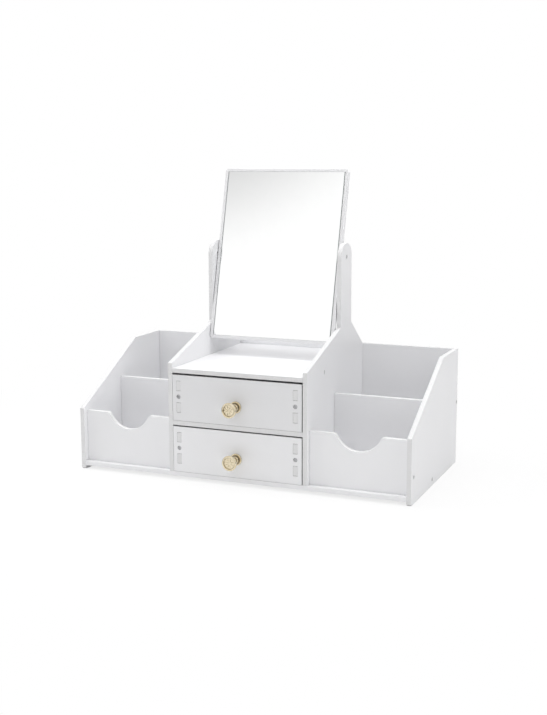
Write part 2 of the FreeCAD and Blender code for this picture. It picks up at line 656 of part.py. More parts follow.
def corner_joints(level, floor):
    """Tenons, mortises, screws, nuts and their slots at the four corners of a drawer."""
    height = f"{floor} + corner_joint_height"
    joints = {"tenons": {"left": [], "right": []}, "slots": {"left": [], "right": []},
              "front": [], "rear": [], "screws": [], "nuts": []}
    ends = (("front", REARWARD, "front", "front", "drawer_front_inside", 1),
            ("rear", -REARWARD, "drawer_rear", "drawer_rear_inside", "drawer_rear", -1))
    for side, sign in SIDES:
        across = mirrored(sign, "drawer_side_inside", "drawer_side_outside")
        wide = (f"{across[0]} - tenon_side_clearance", f"{across[1]} + tenon_side_clearance")
        middle = signed(sign, "drawer_side_middle")
        for end, direction, face, wall_low, wall_high, along in ends:
            tag = f"{level}_{side}_{end}"
            shoulder = "drawer_front_inside" if end == "front" else "drawer_rear_inside"
            for step in (-1, 1):
                centre = f"{height} + {step} * tenon_pitch"
                tall = (f"{centre} - tenon_height / 2", f"{centre} + tenon_height / 2")
                roomy = (f"{tall[0]} - tenon_end_clearance", f"{tall[1]} + tenon_end_clearance")
                name = f"{tag}_{'low' if step < 0 else 'high'}"
                joints["tenons"][side].append(
                    block(f"{name}_tenon", across, (wall_low, wall_high), tall))
                joints[end].append(block(f"{name}_mortise", wide, (wall_low, wall_high), roomy))
            joints["screws"].append(
                linked(corner_screw, f"{tag}_screw", direction, middle, face, height))
            joints[end].append(
                linked(corner_screw_hole, f"{tag}_screw_hole", direction, middle, face, height))
            half_slot = "screw_diameter / 2 + screw_play"
            reach = [shoulder, f"{face} + {along} * (corner_screw_length + end_room)"][::along]
            near = f"{shoulder} + {along} * nut_setback"
            far = f"{near} + {along} * nut_thickness"
            nut_depth = [near, far][::along]
            half_nut = "nut_width / 2"
            joints["slots"][side] += [
                block(f"{tag}_screw_slot", across, reach,
                      (f"{height} - ({half_slot})", f"{height} + {half_slot}")),
                block(f"{tag}_nut_slot", across,
                      (f"{nut_depth[0]} - nut_play", f"{nut_depth[1]} + nut_play"),
                      (f"{height} - {half_nut} - nut_play", f"{height} + {half_nut} + nut_play"))]
            nut = block(f"{tag}_nut_blank", (f"{middle} - {half_nut}", f"{middle} + {half_nut}"),
                        nut_depth, (f"{height} - {half_nut}", f"{height} + {half_nut}"))
            joints["nuts"].append(cut(f"{tag}_nut", nut, [linked(
                corner_screw_hole, f"{tag}_nut_thread", direction, middle, face, height)]))
    return joints


def drawer(level, floor):
    """A drawer: front, two sides tenoned through front and rear wall, and a bottom in grooves.

    Its pieces are shaped about the middle of the bay and then moved to the middle of the drawer.
    """
    joints = corner_joints(level, floor)
    knob_pieces, knob_hole = knob(level, floor)
    bottom_low = f"{floor} + drawer_bottom_lift"
    bottom_half = "drawer_side_inside + drawer_groove_depth"
    bottom_span = (f"-({bottom_half})", bottom_half)
    bottom_run = ("drawer_front_inside - drawer_groove_depth",
                  "drawer_rear_inside + drawer_groove_depth")
    bottom_rise = (bottom_low, f"{bottom_low} + drawer_bottom_board")
    spans = (bottom_span, bottom_run, bottom_rise)
    groove = block(f"{level}_drawer_groove",
                   *[(f"{low} - tenon_side_clearance", f"{high} + tenon_side_clearance")
                     for low, high in spans])
    side_top = f"{floor} + drawer_side_height"
    full_width = ("-drawer_half", "drawer_half")
    pieces = knob_pieces
    pieces.append(cut(
        f"{level}_drawer_front",
        block(f"{level}_drawer_front_blank", full_width, ("front", "drawer_front_inside"),
              (floor, f"{floor} + drawer_front_height")),
        joints["front"] + [groove, knob_hole]))
    pieces.append(cut(
        f"{level}_drawer_rear_wall",
        block(f"{level}_drawer_rear_blank", full_width, ("drawer_rear_inside", "drawer_rear"),
              (floor, side_top)),
        joints["rear"] + [groove]))
    for side, sign in SIDES:
        name = f"{level}_drawer_{side}_side"
        blank = block(f"{name}_blank", mirrored(sign, "drawer_side_inside", "drawer_side_outside"),
                      ("drawer_front_inside", "drawer_rear_inside"), (floor, side_top))
        whole = joined(f"{name}_tenoned", [blank] + joints["tenons"][side])
        slots = joined(f"{name}_slots", joints["slots"][side])
        pieces.append(cut(name, whole, [groove, slots]))
    pieces.append(together(f"{level}_drawer_screws", joints["screws"]))
    pieces.append(together(f"{level}_drawer_nuts", joints["nuts"]))
    for piece in pieces:
        place(piece, "drawer_middle")
    bottom = block(f"{level}_drawer_bottom",
                   (f"drawer_middle - ({bottom_half})", f"drawer_middle + {bottom_half}"),
                   bottom_run, bottom_rise)
    return [bottom] + pieces


drawers = drawer("upper", "upper_drawer_floor") + drawer("lower", "lower_drawer_floor")


# Mirror. Each piece is built upright about the pivot axis and then leans back on it.

def hang(piece):
    leaning = FreeCAD.Rotation(-ACROSS, worth("mirror_lean"))
    piece.Placement = FreeCAD.Placement(FreeCAD.Vector(), leaning)
    bind(piece, "Placement.Rotation.Angle", "mirror_lean * 1 deg")
    place(piece, None, "pivot_depth", "pivot_height")
    return piece


def centred(width, height):
    return rectangle((f"-({width}) / 2", f"({width}) / 2"), (f"-({height}) / 2", f"({height}) / 2"))


def tube(name, sign, start, outer, inner, length):
    """A ring on the pivot axis that starts at a place beside the frame and runs outward."""
    outward = ACROSS * sign
    ring = rod(f"{name}_blank", outer, length, outward, signed(sign, start), None, None)
    bore = rod(f"{name}_bore", inner, length, outward, signed(sign, start), None, None)
    return cut(name, ring, [bore])


def mirror():
    frame = body_from("mirror_frame_blank", "XZ_Plane", centred("frame_width", "frame_height"),
                      "frame_rear - frame_front", "-frame_rear")
    recess = sketch_on(frame, "glass_pocket", "XZ_Plane", "-frame_front")
    draw_outline(recess, centred("pocket_width", "pocket_height"))
    pocket(frame, recess, "pocket_floor - frame_front")
    corners = [{"x": f"{across} * frame_width / 2", "z": f"{up} * frame_height / 2"}
               for across in (-1, 1) for up in (-1, 1)]
    round_edges(frame, "frame_corners", corners, "frame_corner")
    round_edges(frame, "frame_edges", [{"x": "frame_width / 2", "y": "frame_front"},
                                       {"x": "frame_width / 2", "y": "frame_rear"}], "frame_edge")
    insert_holes = [rod(f"{side}_insert_hole", "insert_diameter / 2 + insert_play", "insert_length",
                        ACROSS * -sign, signed(sign, "frame_width / 2"), None, None)
                    for side, sign in SIDES]
    glass = body_from("mirror_glass", "XZ_Plane", centred("glass_width", "glass_height"),
                      "glass_thickness", "-glass_rear")
    strips = []
    for side, sign in SIDES:
        edge = "glass_width / 2 - tape_margin"
        strip = mirrored(sign, f"{edge} - tape_width", edge)
        strips.append(body_from(f"{side}_tape", "XZ_Plane",
                                rectangle(strip, ("-(glass_height / 2 - tape_margin)",
                                                  "glass_height / 2 - tape_margin")),
                                "tape_thickness", "-pocket_floor"))
    inserts = [tube(f"{side}_insert", sign, "frame_width / 2 - insert_length", "insert_diameter / 2",
                    "pivot_diameter / 2 + insert_play", "insert_length") for side, sign in SIDES]
    washers = [tube(f"{side}_washer", sign, "frame_width / 2", "washer_diameter / 2",
                    "pivot_diameter / 2 + insert_play", "pivot_gap - pivot_play") for side, sign in SIDES]
    screws = [linked(pivot_screw, f"{side}_pivot_screw", ACROSS * -sign,
                     signed(sign, "centre_outside"), "pivot_depth", "pivot_height") for side, sign in SIDES]
    return [hang(cut("mirror_frame", frame, insert_holes)), hang(glass),
            hang(together("mounting_tape", strips)), hang(together("pivot_inserts", inserts)),
            hang(together("pivot_washers", washers)), together("pivot_screws", screws)]


nodes = carcass + drawers + mirror()
doc.recompute()

for thing in doc.Objects:
    if "Invalid" in thing.State or "Error" in thing.State:
        raise RuntimeError(f"{thing.Name} failed: {thing.State}")
for node in nodes:
    if node.Shape.isNull() or not node.Shape.isValid() or not node.Shape.Solids:
        raise RuntimeError(f"{node.Label} has no valid solid")

os.makedirs("parts", exist_ok=True)
for node in nodes:
    node.Shape.exportStep(f"parts/{node.Label}.step")
    print(f"{node.Label}: {len(node.Shape.Solids)} solids, {node.Shape.Volume / 1000:.2f} cm3")
print(f"{len(nodes)} nodes")
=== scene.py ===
# %% [markdown]
# # A white vanity organiser with a tilting mirror
#
# Two small drawers with gold knobs stand between two centre panels. Open compartments with
# a finger notch lie on both sides, and a mirror hangs between the posts of the centre
# panels. Every board, screw and joint already exists as a solid at its real size. These
# cells load those solids as a fixed frame, and then give each piece its finish: eased board
# edges, turned knobs, real screw heads, a silvered mirror, and the light to see them by.

import json
import math

import bmesh
import bpy
from mathutils import Matrix, Vector

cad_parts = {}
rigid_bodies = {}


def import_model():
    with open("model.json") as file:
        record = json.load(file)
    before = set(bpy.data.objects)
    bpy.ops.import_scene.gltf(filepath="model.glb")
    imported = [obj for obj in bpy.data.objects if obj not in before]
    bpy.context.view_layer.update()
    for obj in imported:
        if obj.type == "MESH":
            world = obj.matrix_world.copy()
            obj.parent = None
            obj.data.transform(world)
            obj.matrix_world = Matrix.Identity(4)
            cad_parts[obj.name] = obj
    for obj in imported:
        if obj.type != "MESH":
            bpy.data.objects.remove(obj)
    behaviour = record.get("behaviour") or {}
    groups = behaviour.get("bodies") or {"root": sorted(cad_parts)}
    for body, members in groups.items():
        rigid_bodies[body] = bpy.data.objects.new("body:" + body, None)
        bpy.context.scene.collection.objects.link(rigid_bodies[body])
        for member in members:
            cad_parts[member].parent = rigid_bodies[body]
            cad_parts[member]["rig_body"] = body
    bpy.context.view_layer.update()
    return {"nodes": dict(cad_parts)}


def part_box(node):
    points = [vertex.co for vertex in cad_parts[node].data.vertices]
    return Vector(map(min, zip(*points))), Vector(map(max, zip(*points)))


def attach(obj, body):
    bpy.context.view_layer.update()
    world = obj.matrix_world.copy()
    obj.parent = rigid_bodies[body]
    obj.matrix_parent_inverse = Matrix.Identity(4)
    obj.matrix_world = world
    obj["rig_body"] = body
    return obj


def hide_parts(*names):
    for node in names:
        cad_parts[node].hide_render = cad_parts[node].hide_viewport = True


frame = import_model()
MM = 0.001
nodes = frame["nodes"]
scene = bpy.context.scene
scene.view_settings.view_transform = "Standard"

# %% [markdown]
# ## The camera
#
# A product is usually shown from a little above and from one side, so that its front, one
# side and its shelves can all be read. A long lens from about 1.7 metres away keeps the
# verticals calm. The camera could be aimed with a Track To constraint, but three plain
# turns say exactly where it looks: round the object, down at it, and a slight roll.

# %% Camera
CAMERA_PLACE = Vector((0.6472, -1.5168, 0.4567))
CAMERA_YAW = math.radians(22.76)
CAMERA_DOWN = math.radians(10.06)
CAMERA_ROLL = math.radians(-0.20)
LENS_MM = 58.18

camera = bpy.data.objects.new("camera", bpy.data.cameras.new("camera"))
scene.collection.objects.link(camera)
scene.camera = camera
camera.data.lens = LENS_MM
camera.matrix_world = (
    Matrix.Translation(CAMERA_PLACE)
    @ Matrix.Rotation(CAMERA_YAW, 4, "Z")
    @ Matrix.Rotation(math.radians(90) - CAMERA_DOWN, 4, "X")
    @ Matrix.Rotation(CAMERA_ROLL, 4, "Z")
)
print(f"camera {CAMERA_PLACE.length:.2f} m from the object")

# %% [markdown]
# ## Small helpers for shader nodes
#
# Each finish below is a handful of nodes. Helpers keep the cells short: one makes a
# material and hands back its shader, one adds a node with its values, and one adds the
# nodes nearly every finish starts with, Object coordinates and a noise read from them.
# Object coordinates are metres on every piece here, so a pattern keeps its real scale. A
# last helper darkens a colour in narrow gaps as painted shade, where little light gets in.

# %% Node helpers
SHADE_SAMPLES = 8


def new_material(name):
    """A material with a Principled shader, and its node tree."""
    material = bpy.data.materials.new(name)
    material.use_nodes = True
    tree = material.node_tree
    shader = tree.nodes["Principled BSDF"]
    return material, tree, shader


def add_node(tree, kind, inputs=(), **settings):
    """A node of one kind with its settings, and its inputs set or linked by name."""
    node = tree.nodes.new(kind)
    for key, value in settings.items():
        setattr(node, key, value)
    for name, value in dict(inputs).items():
        if isinstance(value, bpy.types.NodeSocket):
            tree.links.new(value, node.inputs[name])
        else:
            node.inputs[name].default_value = value
    return node


def noise(tree, scale, detail=2.0, stretch=(1, 1, 1)):
    """Noise in Object coordinates: scale is grains in a metre, stretch squeezes an axis."""
    place = add_node(tree, "ShaderNodeTexCoord").outputs["Object"]
    mapped = add_node(tree, "ShaderNodeMapping", {"Vector": place, "Scale": stretch})
    return add_node(tree, "ShaderNodeTexNoise", {
        "Vector": mapped.outputs["Vector"], "Scale": scale, "Detail": detail}).outputs["Fac"]


def spread(tree, value, low, high, start=0.3, end=0.7):
    """Noise values from start to end, spread over low to high."""
    return add_node(tree, "ShaderNodeMapRange", {
        "Value": value, "From Min": start, "From Max": end, "To Min": low, "To Max": high,
    }).outputs["Result"]


def tint(tree, value, dark, light, start=0.3, end=0.7):
    """A colour that runs from dark to light as the value runs from start to end."""
    ramp = add_node(tree, "ShaderNodeValToRGB", {"Fac": value})
    ramp.color_ramp.elements[0].position = start
    ramp.color_ramp.elements[0].color = (*dark, 1)
    ramp.color_ramp.elements[1].position = end
    ramp.color_ramp.elements[1].color = (*light, 1)
    return ramp.outputs["Color"]


def bump(tree, height, depth, strength=1.0, under=None):
    """A bump of a real depth in metres, laid over another bump if there is one."""
    inputs = {"Height": height, "Distance": depth, "Strength": strength}
    if under is not None:
        inputs["Normal"] = under
    return add_node(tree, "ShaderNodeBump", inputs).outputs["Normal"]


def shaded(tree, colour, reach, darkest, closed, free):
    """The colour with painted shade: darker where other surfaces close in on it nearer than reach."""
    around = add_node(tree, "ShaderNodeAmbientOcclusion", {"Distance": reach}, samples=SHADE_SAMPLES)
    light = spread(tree, around.outputs["AO"], darkest, 1, closed, free)
    return add_node(tree, "ShaderNodeHueSaturation", {"Color": colour, "Value": light}).outputs["Color"]


print(f"node helpers ready, gaps are felt out with {SHADE_SAMPLES} rays")

# %% [markdown]
# ## The white board
#
# The carcass and the drawers are cut from one sheet material, a white wood-plastic board
# with a satin film on both faces. Close up the film has a very fine orange peel, and its
# tone drifts a little from place to place. The sawn edges show the core: the same white,
# duller, with fine saw marks that run across the thickness. One function makes the film,
# and a second makes the sawn edge for a board that is thin along X, Y or Z. Both get painted
# shade that goes nearly black deep in the slits round the drawers and the glass, and stays
# white in open corners. A second, greyer film is painted shade over the upper drawer's
# front, which is a little darker than the boards around it.

# %% White board materials
BOARD_WHITE = (0.880, 0.880, 0.892)
BOARD_SHADE = (0.866, 0.867, 0.882)
# A greyer copy of the film: painted shade for the upper drawer's front.
SHADE_PAINTED_WHITE = (0.805, 0.805, 0.815)
SHADE_PAINTED_GREY = (0.795, 0.796, 0.809)
CORE_WHITE = (0.780, 0.780, 0.785)
CORE_SHADE = (0.750, 0.749, 0.753)
# Painted shade in slits: how far the AO looks, and how dark a closed slit gets.
SLIT_REACH = 0.008
SLIT_DARKEST = 0.02
SLIT_CLOSED = 0.03
SLIT_FREE = 0.27
DRIFT_PER_M = 9
FILM_PEEL_PER_M = 420
FILM_GRAIN_PER_M = 2600
SAW_MARKS_PER_M = 900
SAW_MARK_SQUEEZE = 0.06
FILM_ROUGHNESS = (0.34, 0.46)
CORE_ROUGHNESS = (0.5, 0.68)
FILM_SHINE = 0.4
CORE_SHINE = 0.3
PEEL_DEPTH = 0.00002
GRAIN_DEPTH = 0.000006
SAW_MARK_DEPTH = 0.00003
PORE_DEPTH = 0.00002


def paint_slit_shade(tree, colour):
    """The colour with painted shade, nearly black where two boards almost touch."""
    return shaded(tree, colour, SLIT_REACH, SLIT_DARKEST, SLIT_CLOSED, SLIT_FREE)


def board_film(name, shade, white, slits=True):
    """The satin film, between two whites, with or without painted shade in slits."""
    material, tree, shader = new_material(name)
    drift = noise(tree, DRIFT_PER_M, detail=3)
    peel = noise(tree, FILM_PEEL_PER_M, detail=1)
    grain = noise(tree, FILM_GRAIN_PER_M, detail=2)
    colour = tint(tree, drift, shade, white)
    # Painted shade in slits, unless it is turned off.
    tree.links.new(paint_slit_shade(tree, colour) if slits else colour, shader.inputs["Base Color"])
    tree.links.new(spread(tree, grain, *FILM_ROUGHNESS), shader.inputs["Roughness"])
    waves = bump(tree, peel, PEEL_DEPTH)
    tree.links.new(bump(tree, grain, GRAIN_DEPTH, under=waves), shader.inputs["Normal"])
    shader.inputs["Specular IOR Level"].default_value = FILM_SHINE
    return material


def sawn_edge(axis):
    """The core of a board that is thin along an axis, with its saw marks along that axis."""
    material, tree, shader = new_material(f"sawn_edge_{'xyz'[axis]}")
    across = [1, 1, 1]
    across[axis] = SAW_MARK_SQUEEZE
    marks = noise(tree, SAW_MARKS_PER_M, detail=2, stretch=across)
    pores = noise(tree, FILM_GRAIN_PER_M, detail=2)
    colour = tint(tree, marks, CORE_SHADE, CORE_WHITE)
    # Painted shade: the sawn edge darkens in slits too.
    tree.links.new(paint_slit_shade(tree, colour), shader.inputs["Base Color"])
    tree.links.new(spread(tree, pores, *CORE_ROUGHNESS), shader.inputs["Roughness"])
    saw = bump(tree, marks, SAW_MARK_DEPTH)
    tree.links.new(bump(tree, pores, PORE_DEPTH, under=saw), shader.inputs["Normal"])
    shader.inputs["Specular IOR Level"].default_value = CORE_SHINE
    return material


film = board_film("white_film", BOARD_SHADE, BOARD_WHITE)
shade_painted_film = board_film("shade_painted_film", SHADE_PAINTED_GREY, SHADE_PAINTED_WHITE)
sawn = [sawn_edge(axis) for axis in range(3)]
print("board finishes:", film.name, shade_painted_film.name, *[edge.name for edge in sawn])

# %% [markdown]
# ## Boards with eased edges
#
# A perfectly sharp edge never catches the light, and no sawn and handled board has one.
# The solids in the frame must stay as they are, so each board is copied. The copy's loose
# triangles are welded, flat areas are dissolved back to single faces, and the long sharp
# edges get a bevel of a third of a millimetre. Short rings of edges stay sharp: they are
# screw holes and the slots for the drawers' tenons, which are cut into a finished board. A
# Weighted Normal modifier then keeps the faces flat and lets only the narrow bevels roll
# over. The broad faces get film and the rest shows saw marks, except on the base plate,
# whose edges get the lighter film as painted light, which lifts its long edge by the floor.

# %% Board builder
WELD = 0.000002
FLAT_ANGLE = math.radians(0.5)
SHARP_ANGLE = math.radians(35)
SLOT_SPAN = 0.0165
EASED = 0.00035
FACES_THAT_WAY = 0.9


def welded_copy(node):
    """A bmesh of a node with its loose triangles joined and its flat areas made whole."""
    bm = bmesh.new()
    bm.from_mesh(nodes[node].data)
    bmesh.ops.remove_doubles(bm, verts=bm.verts, dist=WELD)
    bmesh.ops.dissolve_limit(bm, angle_limit=FLAT_ANGLE, verts=bm.verts, edges=bm.edges)
    bm.normal_update()
    return bm


def is_sharp(edge):
    """Whether two faces meet at an edge and turn more than a sharp edge's angle there."""
    return len(edge.link_faces) == 2 and edge.calc_face_angle(0) > SHARP_ANGLE


def sharp_rings(bm):
    """The sharp edges, in groups that touch each other."""
    left = {edge for edge in bm.edges if is_sharp(edge)}
    rings = []
    while left:
        ring, fresh = set(), [left.pop()]
        while fresh:
            edge = fresh.pop()
            ring.add(edge)
            near = {other for vert in edge.verts for other in vert.link_edges} & left
            left -= near
            fresh.extend(near)
        rings.append(ring)
    return rings


def span_of(ring):
    """The largest side of the box round a group of edges."""
    points = [vert.co for edge in ring for vert in edge.verts]
    return max(max(axis) - min(axis) for axis in zip(*points))


def ease_edges(bm, width, segments=2):
    """Bevel the long sharp edges, and say how many there are."""
    edges = [edge for ring in sharp_rings(bm) if span_of(ring) > SLOT_SPAN for edge in ring]
    bmesh.ops.bevel(bm, geom=edges, offset=width, offset_type="OFFSET", affect="EDGES",
                    segments=segments, profile=0.5, material=-1, clamp_overlap=True)
    return len(edges)


def thin_axis(bm):
    """0, 1 or 2 for a board that is thinnest along X, Y or Z."""
    sides = [max(axis) - min(axis) for axis in zip(*[vert.co for vert in bm.verts])]
    return sides.index(min(sides))


def body_of(node):
    """The moving body, or the carcass, that a node of the frame belongs to."""
    return nodes[node]["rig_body"]


def finish_piece(name, bm, materials, node):
    """A bmesh made into an object that rides on a node's body and stands for that node."""
    mesh = bpy.data.meshes.new(name)
    bm.to_mesh(mesh)
    bm.free()
    for material in materials:
        mesh.materials.append(material)
    mesh.shade_smooth()
    mesh.set_sharp_from_angle(angle=SHARP_ANGLE)
    piece = bpy.data.objects.new(name, mesh)
    scene.collection.objects.link(piece)
    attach(piece, body_of(node))
    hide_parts(node)
    return piece


def keep_faces_flat(piece):
    """Let only the bevels roll over, and none of the flat faces."""
    piece.modifiers.new("flat faces", "WEIGHTED_NORMAL").keep_sharp = True


def board(node, faces=film, edges=None):
    """A board's node, copied with eased edges, one finish on its faces and one on its edges."""
    bm = welded_copy(node)
    axis = thin_axis(bm)
    count = ease_edges(bm, EASED)
    bm.normal_update()
    for face in bm.faces:
        face.material_index = 0 if abs(face.normal[axis]) > FACES_THAT_WAY else 1
    piece = finish_piece(f"{node}_board", bm, [faces, edges or sawn[axis]], node)
    keep_faces_flat(piece)
    print(f"{node}: {count} edges eased, {len(piece.data.polygons)} faces")


print(f"edges are eased by {EASED / MM:.2f} mm, rings up to {SLOT_SPAN / MM:.1f} mm stay sharp")

# %% Carcass boards
CARCASS = [f"{side}_{kind}" for side in ("left", "right")
           for kind in ("side_panel", "centre_panel", "front_panel", "divider")]
CARCASS += ["base_plate", "back_board", "top_shelf", "drawer_mid_board"]
for node in CARCASS:
    # The base plate's edges get the lighter film: painted light on its long edge by the floor.
    board(node, edges=film if node == "base_plate" else None)

# %% Drawer boards
LEVELS = ("upper", "lower")
WALLS = ("front", "rear_wall", "left_side", "right_side", "bottom")
for level in LEVELS:
    for wall in WALLS:
        # The upper drawer's front gets the greyer film, painted shade over the whole front.
        board(f"{level}_drawer_{wall}", shade_painted_film if (level, wall) == ("upper", "front") else film)

# %% [markdown]
# ## The mirror
#
# The mirror is a routed board with a pocket in its front, and a sheet of silvered glass
# held in the pocket by foam tape. The frame is one more eased board, only its thin
# direction leans back with the mirror. Its narrow front gets painted shade, a little greyer
# than its sides, so it gets two films: a greyer one in front, whose painted shade also goes
# dark in the slit round the glass, and the plain one everywhere else, without painted shade.
# The glass could be a clear solid over a mirror, but two millimetres of clear glass show
# only at the edge. So its front face is a polished metal that is almost white, its ground
# edge is greyer and slightly green, and its rear face is the grey paint that protects the
# silver.

# %% Mirror frame
# The lip's greyer film is painted shade: the lip lies in the glass's shade.
LIP_PAINTED_SHADE_DARK = (0.74, 0.74, 0.75)
LIP_PAINTED_SHADE_LIGHT = (0.77, 0.77, 0.78)
FRAME_EASED = 0.00015
glass_low, glass_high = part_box("mirror_glass")
LEAN = math.atan2(glass_high.y - glass_low.y, glass_high.z - glass_low.z)
FACING = Vector((0, -math.cos(LEAN), math.sin(LEAN)))
print(f"the mirror leans back about {math.degrees(LEAN):.1f} degrees")
bm = welded_copy("mirror_frame")
ease_edges(bm, FRAME_EASED)
bm.normal_update()
for face in bm.faces:
    face.material_index = 1 if face.normal.dot(FACING) > FACES_THAT_WAY else 0
# The front's film is greyer and darkens in the slit round the glass: painted shade.
shaded_frame_front = board_film("frame_front_film", LIP_PAINTED_SHADE_DARK, LIP_PAINTED_SHADE_LIGHT)
frame_sides = board_film("frame_side_film", BOARD_SHADE, BOARD_WHITE, slits=False)
frame_piece = finish_piece("mirror_frame_board", bm, [frame_sides, shaded_frame_front],
                           "mirror_frame")
keep_faces_flat(frame_piece)
print("frame faces:", len(frame_piece.data.polygons))

# %% Mirror glass materials
SILVER_DARK = (0.972, 0.976, 0.974)
SILVER_LIGHT = (0.985, 0.988, 0.986)
SILVER_ROUGHNESS = (0.0, 0.012)
HAZE_PER_M = 60
EDGE_DARK = (0.50, 0.57, 0.54)
EDGE_LIGHT = (0.62, 0.68, 0.65)
EDGE_ROUGHNESS = (0.12, 0.3)
STREAKS_PER_M = 700
STREAK_STRETCH = (1, 1, 0.05)
PAINT_DARK = (0.20, 0.21, 0.22)
PAINT_LIGHT = (0.25, 0.26, 0.27)
PAINT_ROUGHNESS = (0.5, 0.7)
PAINT_DEPTH = 0.00002
SPRAY_PER_M = 800


def silvered_glass():
    """The polished silver, with a haze too faint to see as a pattern."""
    material, tree, shader = new_material("silvered_glass")
    haze = noise(tree, HAZE_PER_M, detail=3)
    tree.links.new(tint(tree, haze, SILVER_DARK, SILVER_LIGHT), shader.inputs["Base Color"])
    tree.links.new(spread(tree, haze, *SILVER_ROUGHNESS), shader.inputs["Roughness"])
    shader.inputs["Metallic"].default_value = 1.0
    return material


def ground_glass_edge():
    """The sheet's edge, with streaks from the grinding belt."""
    material, tree, shader = new_material("ground_glass_edge")
    streaks = noise(tree, STREAKS_PER_M, detail=2, stretch=STREAK_STRETCH)
    tree.links.new(tint(tree, streaks, EDGE_DARK, EDGE_LIGHT), shader.inputs["Base Color"])
    tree.links.new(spread(tree, streaks, *EDGE_ROUGHNESS), shader.inputs["Roughness"])
    return material


def backing_paint():
    """The sprayed grey paint behind the silver."""
    material, tree, shader = new_material("backing_paint")
    sprayed = noise(tree, SPRAY_PER_M, detail=3)
    tree.links.new(tint(tree, sprayed, PAINT_DARK, PAINT_LIGHT), shader.inputs["Base Color"])
    tree.links.new(spread(tree, sprayed, *PAINT_ROUGHNESS), shader.inputs["Roughness"])
    tree.links.new(bump(tree, sprayed, PAINT_DEPTH), shader.inputs["Normal"])
    return material


glass_finishes = [silvered_glass(), ground_glass_edge(), backing_paint()]
print("glass finishes:", *[finish.name for finish in glass_finishes])

# %% Mirror glass
GROUND_EDGE = 0.0001
FLAT_ON = 0.95

bm = welded_copy("mirror_glass")
ease_edges(bm, GROUND_EDGE, 1)
bm.normal_update()
for face in bm.faces:
    toward_front = face.normal.dot(FACING)
    face.material_index = 0 if toward_front > FLAT_ON else (2 if toward_front < -FLAT_ON else 1)
glass = finish_piece("mirror_glass_sheet", bm, glass_finishes, "mirror_glass")
keep_faces_flat(glass)
print("glass faces:", len(glass.data.polygons))

# %% [markdown]
# ## Turned pieces
#
# Knobs, flanges and screws are turned on a lathe, and bmesh has its own lathe: spin. An
# outline is drawn in a plane as a few corners, each with its own rounding, spun once round
# Z, and welded where the turn meets itself. Each piece is turned upright about Z and only
# then laid along its own direction and moved to its place, which is read from the frame.

# %% Lathe
FULL_TURN = 2 * math.pi
ARC_STEPS = 4


def rounded(corners):
    """Corners of (radius, height, rounding), with an arc of a few steps in place of each."""
    points = [Vector(corner[:2]) for corner in corners]
    outline = [points[0]]
    for before, corner, after, rounding in zip(points, points[1:], points[2:],
                                               [corner[2] for corner in corners[1:]]):
        start = corner + (before - corner).normalized() * rounding
        end = corner + (after - corner).normalized() * rounding
        steps = ARC_STEPS if rounding else 0
        for share in [step / ARC_STEPS for step in range(steps + 1)]:
            outline.append(start.lerp(corner, share).lerp(corner.lerp(end, share), share))
    return [tuple(point) for point in outline + [points[-1]]]


def lathe(outline, steps):
    """A bmesh turned about Z from (radius, height) points."""
    bm = bmesh.new()
    verts = [bm.verts.new((radius, 0, height)) for radius, height in outline]
    edges = [bm.edges.new(pair) for pair in zip(verts, verts[1:])]
    bmesh.ops.spin(bm, geom=verts + edges, cent=(0, 0, 0), axis=(0, 0, 1), dvec=(0, 0, 0),
                   angle=FULL_TURN, steps=steps, use_merge=True)
    bmesh.ops.remove_doubles(bm, verts=bm.verts, dist=WELD / 2)
    bmesh.ops.recalc_face_normals(bm, faces=bm.faces)
    return bm


def lay(bm, place, direction, verts=None):
    """Turn Z to a direction and move the origin to a place."""
    turn = direction.to_track_quat("Z", "Y").to_matrix().to_4x4()
    bmesh.ops.transform(bm, matrix=Matrix.Translation(place) @ turn,
                        verts=bm.verts if verts is None else verts)
    return bm


print(f"lathe ready, a rounded corner has {ARC_STEPS + 1} points")

# %% [markdown]
# ## Gold knobs
#
# A small drawer knob of this kind is cast, turned and plated. It has a stepped flange
# against the drawer, a waisted neck, and a dished head: a polished ring round a face with
# a raised flower of eight petals. The body is turned. The petals aren't round, so the face
# is turned with fine rings, and its vertices are then lifted by a formula of angle and
# radius. The plating is a pale champagne gold, polished on the high places, with painted
# shade that darkens it in the recesses, which an Ambient Occlusion node finds.

# %% Gold plating
GOLD = (0.70, 0.60, 0.425)
GOLD_PALE = (0.83, 0.745, 0.565)
GOLD_CLOUDS_PER_M = 260
POLISH_PER_M = 1500
POLISH_ROUGHNESS = (0.18, 0.26)
POLISH_DEPTH = 0.000006
# Painted shade in the knob's recesses: how far the AO looks, and how dark it gets.
RECESS_REACH = 0.004
RECESS_DARKEST = 0.46
RECESS_CLOSED = 0.3
RECESS_FREE = 0.85


def gold_plating():
    """Champagne gold, darker as painted shade where its own relief closes in on it."""
    material, tree, shader = new_material("gold_plating")
    cloud = noise(tree, GOLD_CLOUDS_PER_M, detail=3)
    polish = noise(tree, POLISH_PER_M, detail=2)
    metal = tint(tree, cloud, GOLD, GOLD_PALE)
    # Painted shade where the relief closes in.
    gold_with_painted_shade = shaded(tree, metal, RECESS_REACH, RECESS_DARKEST, RECESS_CLOSED, RECESS_FREE)
    tree.links.new(gold_with_painted_shade, shader.inputs["Base Color"])
    tree.links.new(spread(tree, polish, *POLISH_ROUGHNESS), shader.inputs["Roughness"])
    tree.links.new(bump(tree, polish, POLISH_DEPTH), shader.inputs["Normal"])
    shader.inputs["Metallic"].default_value = 1.0
    return material


gold = gold_plating()
print("knob finish:", gold.name)

# %% Knob outlines
TURN_STEPS = 96
FACE_RINGS = 18


def radius_of(node):
    """Half the width of a node, in mm."""
    low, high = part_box(node)
    return (high.x - low.x) / 2 / MM


